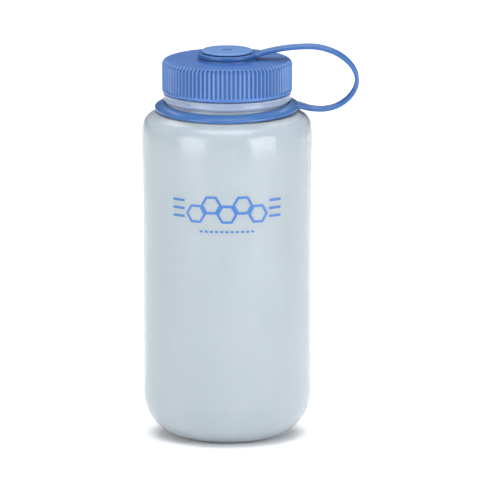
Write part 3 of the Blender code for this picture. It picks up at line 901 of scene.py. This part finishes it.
def button_profile():
    """From the bottom of the dimple, over the domed disc, down the stem to the axis."""
    edge = BUTTON_EDGE
    floor = BUTTON_TOP - DIMPLE_DEPTH
    wall = DIMPLE_RADIUS - DIMPLE_TAPER
    inner = DIMPLE_RADIUS + DIMPLE_EDGE
    points = [(0.0, floor), (wall - DIMPLE_FLOOR_EDGE, floor), (wall, floor + DIMPLE_FLOOR_RISE)]
    points += [(DIMPLE_RADIUS, BUTTON_TOP - DIMPLE_EDGE), (inner, BUTTON_TOP)]
    for step in range(1, BUTTON_DOME_RINGS + 1):
        share = step / BUTTON_DOME_RINGS
        across = inner + (BUTTON_RADIUS - edge - inner) * share
        points.append((across, BUTTON_TOP - BUTTON_DOME_DROP * share**BUTTON_DOME_POWER))
    rim = BUTTON_TOP - BUTTON_DOME_DROP - edge
    points += arc((BUTTON_RADIUS - edge, rim), (edge, edge), 90, 0, 5)[1:]
    points += rounded((BUTTON_RADIUS, BUTTON_UNDERSIDE), BUTTON_UNDER_EDGE, 0, -90, 2)
    stem = SOCKET_RADIUS - STEM_GAP
    snap = SOCKET_GROOVE_RADIUS - STEM_GAP
    points += [(stem, BUTTON_UNDERSIDE), (stem, SNAP_TOP)]
    points += [(snap, SNAP_FULL_TOP), (snap, SNAP_FULL_BOTTOM)]
    points += [(stem - STEM_GAP, BUTTON_LOW.z), (0.0, BUTTON_LOW.z)]
    return points


def make_button():
    """The snap-in button that holds the tether's ring on the hub."""
    shell = Shell()
    shell.turn(button_profile(), even_angles(BUTTON_COLUMNS))
    button = shell.make("dimpled_button", 38)
    button.data.materials.append(
        blue_plastic("button_polypropylene", BUTTON_BLUE, rough=0.34, edge_highlight=0.40)
    )
    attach(button, "cap_button")
    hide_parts("retaining_button")
    return button


# ---------------------------------------------------------------- tether


def ring_object(name, profile, count):
    """A closed ring turned from a looped profile."""
    shell = Shell()
    first, last = shell.turn(profile, even_angles(count))
    shell.band(last, first)
    return shell.make(name)


def neck_ring_profile():
    """The neck ring's section: a cone round the bead and a lip under it."""
    inner = RING_INNER_RADIUS
    outer = RING_OUTER_RADIUS
    foot = RING_EDGE_BOTTOM - RING_SKIRT
    points = [(RING_TOP_INNER, RING_TOP - RING_TOP_ROUND)]
    points.append((RING_TOP_INNER + RING_TOP_ROUND, RING_TOP))
    points.append((RING_TOP_INNER + RING_TOP_WIDTH, RING_TOP - RING_TOP_FALL))
    points.append((outer - RING_STEP_INSET, RING_EDGE_TOP + RING_STEP_RISE))
    points.append((outer - RING_RIM_INSET, RING_EDGE_TOP + RING_RIM_RISE))
    points += rounded((outer, RING_EDGE_TOP), RING_RIM_ROUND, 90, 0, 4)
    points += rounded((outer, foot), RING_SKIRT_ROUND, 0, -90, 5)
    points += [(inner + RING_INNER_EDGE, foot), (inner, RING_EDGE_BOTTOM)]
    points.append((inner, RING_LIP_TOP - RING_INNER_EDGE))
    points += [(inner + RING_INNER_EDGE, RING_LIP_TOP), (RING_TOP_INNER, RING_LIP_TOP)]
    return points


def cap_ring_profile():
    """The cap ring's section: a flat band with rounded corners."""
    low = CAP_RING_BOTTOM
    high = CAP_RING_TOP
    points = rounded((CAP_RING_INNER_RADIUS, high), CAP_RING_INNER_ROUND, 180, 90, 4)
    points += rounded((CAP_RING_OUTER_RADIUS, high), CAP_RING_UPPER_ROUND, 90, 0, 7)
    points += rounded((CAP_RING_OUTER_RADIUS, low), CAP_RING_LOWER_ROUND, 0, -90, 6)
    points += rounded((CAP_RING_INNER_RADIUS, low), CAP_RING_INNER_ROUND, -90, -180, 4)
    return points


def bend(start, start_handle, end_handle, end, count):
    """Points of a smooth bend in the XZ plane, without its last point."""
    knots = [Vector((across, 0.0, up)) for across, up in (start, start_handle, end_handle, end)]
    return interpolate_bezier(*knots, count)[:-1]


def strap_route():
    """The strap's middle line, from inside the cap ring round the loop into the neck ring."""
    middle = (CAP_RING_BOTTOM + CAP_RING_TOP) / 2
    edge = (CAP_RING_OUTER_RADIUS, middle)
    ring_edge = (RING_OUTER_RADIUS, NECK_RING_EXIT_HEIGHT)
    route = [Vector((root, 0.0, middle)) for root in STRAP_ROOTS]
    after = (edge[0] + CAP_RING_EXIT_HANDLE[0], middle + CAP_RING_EXIT_HANDLE[1])
    before = (LOOP_TOP[0] - LOOP_TOP_HANDLES[0], LOOP_TOP[1])
    route += bend(edge, after, before, LOOP_TOP, 30)
    after = (LOOP_TOP[0] + LOOP_TOP_HANDLES[1], LOOP_TOP[1])
    before = (LOOP_SIDE[0], LOOP_SIDE[1] + LOOP_SIDE_HANDLES[0])
    route += bend(LOOP_TOP, after, before, LOOP_SIDE, 40)
    after = (LOOP_SIDE[0], LOOP_SIDE[1] - LOOP_SIDE_HANDLES[1])
    before = (LOOP_BOTTOM[0] + LOOP_BOTTOM_HANDLES[0], LOOP_BOTTOM[1])
    route += bend(LOOP_SIDE, after, before, LOOP_BOTTOM, 34)
    after = (LOOP_BOTTOM[0] - LOOP_BOTTOM_HANDLES[1], LOOP_BOTTOM[1])
    before = (ring_edge[0] + NECK_RING_EXIT_HANDLE[0], ring_edge[1] + NECK_RING_EXIT_HANDLE[1])
    route += bend(LOOP_BOTTOM, after, before, ring_edge, 20)
    route += [Vector((across, 0.0, up)) for across, up in (ring_edge, NECK_RING_ROOT)]
    return route


def strap_section(half_width):
    """(across, out) points round the strap's section: a web between two rounded beads."""
    bead = STRAP_THICKNESS / 2
    web = STRAP_WEB / 2
    inner = half_width - bead
    side = []
    for share in (0.0, 0.35, 0.7):
        side.append((share * (inner - bead), web))
    for share in (0.0, 0.25, 0.5, 0.75):
        fade = share * share * (3 - 2 * share)
        side.append((inner - bead + share * bead, web + (bead - web) * fade))
    side += arc((inner, 0.0), (bead, bead), 90, 0, 6)
    right = side + [(across, -out) for across, out in reversed(side[:-1])]
    left = [(-across, out) for across, out in reversed(right[1:-1])]
    return right + left


def strap_object():
    """The whole strap, wider where it leaves each ring."""
    route = strap_route()
    lengths = [0.0]
    for before, after in zip(route, route[1:]):
        lengths.append(lengths[-1] + (after - before).length)
    points = []
    count = len(strap_section(STRAP_WIDTH / 2))
    for index, spot in enumerate(route):
        ahead = route[min(index + 1, len(route) - 1)]
        behind = route[max(index - 1, 0)]
        along = (ahead - behind).normalized()
        out = Vector((-along.z, 0.0, along.x))
        to_end = min(lengths[index], lengths[-1] - lengths[index])
        near = max(0.0, 1 - to_end / STRAP_FLARE_LENGTH)
        half_width = (STRAP_WIDTH + STRAP_FLARE * near**2) / 2
        for across, rise in strap_section(half_width):
            place = spot + out * rise
            points.append((place.x, across, place.z))
    faces = []
    for row in range(len(route) - 1):
        for column in range(count):
            beside = (column + 1) % count
            start = row * count
            above = start + count
            faces.append((start + column, start + beside, above + beside, above + column))
    faces.append(tuple(reversed(range(count))))
    last = (len(route) - 1) * count
    faces.append(tuple(range(last, last + count)))
    return make_object("strap_band", points, faces, 35)


def joined(name, pieces, sharp):
    """One object of several closed pieces, joined by Boolean union."""
    base = pieces[0]
    for piece in pieces[1:]:
        union = base.modifiers.new("join", "BOOLEAN")
        union.operation = "UNION"
        union.solver = "EXACT"
        union.object = piece
    bpy.context.view_layer.update()
    graph = bpy.context.evaluated_depsgraph_get()
    mesh = bpy.data.meshes.new_from_object(base.evaluated_get(graph))
    for piece in pieces:
        bpy.data.objects.remove(piece, do_unlink=True)
    mesh.name = name
    mesh.shade_smooth()
    mesh.set_sharp_from_angle(angle=math.radians(sharp))
    made = bpy.data.objects.new(name, mesh)
    bpy.context.scene.collection.objects.link(made)
    return made


def hang_ring(item):
    """Lets the loose neck ring drop and lean on the neck at the front, and be held up by the strap."""
    for vertex in item.data.vertices:
        x, y, z = vertex.co
        if z > HANG_TOP:
            continue
        radius = math.hypot(x, y)
        front = (1 - y / RING_OUTER_RADIUS) / 2
        on_ring = 1 - float(smooth_step(HANG_FADE_START, HANG_FADE_END, x))
        strap_side = max(0.0, x / RING_OUTER_RADIUS)
        upper = float(smooth_step(RING_LIP_TOP, RING_TOP, z))
        inner = 1 - float(smooth_step(RING_TOP_INNER, RING_TOP_INNER + LEAN_WIDTH, radius))
        free = front - LEAN_STRAP_SHARE * strap_side
        lean = RING_LEAN * upper * inner * float(smooth_step(LEAN_START, LEAN_FULL, free))
        vertex.co.x *= 1 - lean / radius
        vertex.co.y *= 1 - lean / radius
        vertex.co.z += (RING_PULL * strap_side - 2 * RING_DROOP * front) * on_ring


def make_tether():
    """The tether, one moulding: a strap looped between its neck ring and its cap ring, joined to both.
    """
    neck_ring = ring_object("neck_ring", neck_ring_profile(), RING_COLUMNS)
    cap_ring = ring_object("cap_ring", cap_ring_profile(), CAP_RING_COLUMNS)
    tether = joined("loop_tether", [strap_object(), neck_ring, cap_ring], 30)
    hang_ring(tether)
    tether.data.materials.clear()
    tether.data.materials.append(
        blue_plastic("tether_polyethylene", TETHER_BLUE, rough=0.24, edge_highlight=0.40)
    )
    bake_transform(tether)
    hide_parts("tether_neck_half", "tether_cap_half")
    return tether


# ---------------------------------------------------------------- printed mark


INK_LIFT = 0.05 * MM
MARK_HEIGHT = 127.5 * MM
MARK_STROKE = 1.3 * MM
HEXAGON_SIZE = 4.8 * MM
HEXAGON_SPACING = 1.14
STRIPE_START = 22.8 * MM
STRIPE_LENGTH = 7.0 * MM
STRIPE_GAP = 4.2 * MM
DASH_DROP = 11.6 * MM
DASH_PITCH = 2.7 * MM
DASH_HALF_LENGTH = 0.8 * MM
DASH_STROKE = 0.8 * MARK_STROKE
STROKE_SPACING = 0.6 * MM


def on_body(across, height, lift):
    """A point of the print, from its distance round the body and its height."""
    radius = swell_radius(height) + lift
    angle = across / BODY_RADIUS - math.pi / 2
    return (radius * math.cos(angle), radius * math.sin(angle), height)


def stroke(path, width, closed):
    """Points and faces of a printed line of even width along a path of (across, height) points."""
    points = []
    faces = []
    count = len(path)
    for index, spot in enumerate(path):
        ahead = path[(index + 1) % count] if closed or index < count - 1 else spot
        behind = path[index - 1] if closed or index > 0 else spot
        run = Vector((ahead[0] - behind[0], ahead[1] - behind[1])).normalized()
        aside = Vector((-run.y, run.x)) * width / 2
        for side, lift in ((1, INK_LIFT), (1, -INK_LIFT), (-1, -INK_LIFT), (-1, INK_LIFT)):
            points.append(on_body(spot[0] + aside.x * side, spot[1] + aside.y * side, lift))
    for index in range(count if closed else count - 1):
        start = index * 4
        end = (index + 1) % count * 4
        for side in range(4):
            beside = (side + 1) % 4
            faces.append((start + side, end + side, end + beside, start + beside))
    if not closed:
        last = (count - 1) * 4
        faces.append((0, 1, 2, 3))
        faces.append((last + 3, last + 2, last + 1, last))
    return points, faces


def straight(start, end):
    """Points of a straight printed line."""
    return refined([start, end], STROKE_SPACING)


def hexagon(centre, size):
    """A closed hexagon with its points at the left and right."""
    corners = []
    for index in range(6):
        angle = TAU * index / 6
        corners.append((centre[0] + size * math.cos(angle), centre[1] + size * math.sin(angle)))
    return refined(corners + corners[:1], STROKE_SPACING)[:-1]


def mark_shapes():
    """The emblem's lines as (path, width, closed): hexagons, stripes beside them, dashes below."""
    step = HEXAGON_SIZE * 1.5 * HEXAGON_SPACING
    rise = HEXAGON_SIZE * math.sqrt(3) / 2 * HEXAGON_SPACING
    shapes = []
    for column in range(-2, 3):
        lift = rise / 2 if column % 2 else -rise / 2
        outline = hexagon((column * step, MARK_HEIGHT + lift), HEXAGON_SIZE)
        shapes.append((outline, MARK_STROKE, True))
    for side in (-1, 1):
        for row in (-1, 0, 1):
            height = MARK_HEIGHT + row * STRIPE_GAP
            near = (side * STRIPE_START, height)
            far = (side * (STRIPE_START + STRIPE_LENGTH), height)
            shapes.append((straight(near, far), MARK_STROKE, False))
    for index in range(-5, 6):
        middle = index * DASH_PITCH
        height = MARK_HEIGHT - DASH_DROP
        left = (middle - DASH_HALF_LENGTH, height)
        right = (middle + DASH_HALF_LENGTH, height)
        shapes.append((straight(left, right), DASH_STROKE, False))
    return shapes


def make_mark():
    """A plain printed emblem: a chain of hexagons between stripes, over a row of dashes."""
    points = []
    faces = []
    for path, width, closed in mark_shapes():
        new_points, new_faces = stroke(path, width, closed)
        first = len(points)
        points += new_points
        faces += [tuple(first + corner for corner in face) for face in new_faces]
    mark = make_object("printed_mark", points, faces, 30)
    mark.data.materials.append(ink())
    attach(mark, "bottle")
    return mark


# ---------------------------------------------------------------- stage


FLOOR_RINGS = (0.3, 0.8, 2.0, 5.0, 12.0)
FLOOR_DROP = 0.2 * MM
LIGHT_CENTRE = (0, 0, 0.12)
LIGHT_AIM = (0, 0, 0.14)
HORIZON = (0.10, 0.103, 0.11, 1)
OVERHEAD = (1.0, 1.0, 1.0, 1)
LENS = 691.2
SENSOR = 36.0
CAMERA_AIM = (11.9 * MM, 0.0, 97.3 * MM)
CAMERA_OFFSET = (0.0, -4.9, 1.033)


def soft_box(name, place, target, size, power):
    """A rectangular studio light aimed at a point."""
    light = bpy.data.lights.new(name, "AREA")
    light.shape = "RECTANGLE"
    light.size, light.size_y = size
    light.energy = power
    item = bpy.data.objects.new(name, light)
    item.location = place
    item.rotation_mode = "QUATERNION"
    item.rotation_quaternion = (Vector(target) - Vector(place)).to_track_quat("-Z", "Y")
    bpy.context.scene.collection.objects.link(item)
    return item


def around(azimuth, elevation, distance):
    """A place round the object: azimuth 0 is in front of it, and 90 on its +X side."""
    turn = math.radians(azimuth)
    lift = math.radians(elevation)
    level = math.cos(lift)
    out = Vector((math.sin(turn) * level, -math.cos(turn) * level, math.sin(lift)))
    return Vector(LIGHT_CENTRE) + out * distance


def make_stage():
    """A pale floor, a pale surrounding and soft studio lights."""
    shell = Shell()
    shell.turn([(0.0, 0.0)] + [(radius, 0.0) for radius in FLOOR_RINGS], even_angles(96))
    floor = shell.make("floor")
    floor.location.z = -FLOOR_DROP
    floor.data.materials.append(plain_stage("pale_floor", 0.93, 0.6))
    surroundings()
    soft_box("overhead_box", (0.0, -0.50, 1.9), (0, 0.1, 0.1), size=(1.8, 1.3), power=34)
    soft_box("background_box", (0.0, 1.5, 1.9), (0, 1.5, 0.0), size=(2.4, 1.2), power=24)
    soft_box("rear_box", around(180, 46, 1.9), LIGHT_AIM, size=(1.5, 0.8), power=8)
    soft_box("left_box", around(-45, 8, 0.82), LIGHT_AIM, size=(0.50, 0.44), power=4.0)
    soft_box("right_box", around(49, 8, 0.82), LIGHT_AIM, size=(0.54, 0.44), power=4.8)


def surroundings():
    """A pale studio, bright overhead and dimmer towards the horizon."""
    world = bpy.data.worlds.new("pale_surroundings")
    bpy.context.scene.world = world
    world.use_nodes = True
    tree = world.node_tree
    back = tree.nodes["Background"]
    spot = tree.nodes.new("ShaderNodeTexCoord")
    parts = tree.nodes.new("ShaderNodeSeparateXYZ")
    ramp = tree.nodes.new("ShaderNodeValToRGB")
    tree.links.new(spot.outputs["Generated"], parts.inputs["Vector"])
    tree.links.new(parts.outputs["Z"], ramp.inputs["Fac"])
    tree.links.new(ramp.outputs["Color"], back.inputs["Color"])
    elements = ramp.color_ramp.elements
    elements[0].position = 0.0
    elements[0].color = HORIZON
    elements[1].position = 0.90
    elements[1].color = OVERHEAD
    back.inputs["Strength"].default_value = 0.50


def make_camera():
    """A long lens at the photograph's angle."""
    camera = bpy.data.cameras.new("camera")
    camera.lens = LENS
    camera.sensor_width = SENSOR
    camera.clip_start = 0.1
    camera.clip_end = 60.0
    item = bpy.data.objects.new("camera", camera)
    item.location = Vector(CAMERA_AIM) + Vector(CAMERA_OFFSET)
    item.rotation_mode = "QUATERNION"
    item.rotation_quaternion = (-Vector(CAMERA_OFFSET)).to_track_quat("-Z", "Y")
    bpy.context.scene.collection.objects.link(item)
    bpy.context.scene.camera = item


make_bottle()
make_cap()
make_button()
make_tether()
make_mark()
make_stage()
make_camera()
bpy.context.scene.view_settings.view_transform = "Standard"
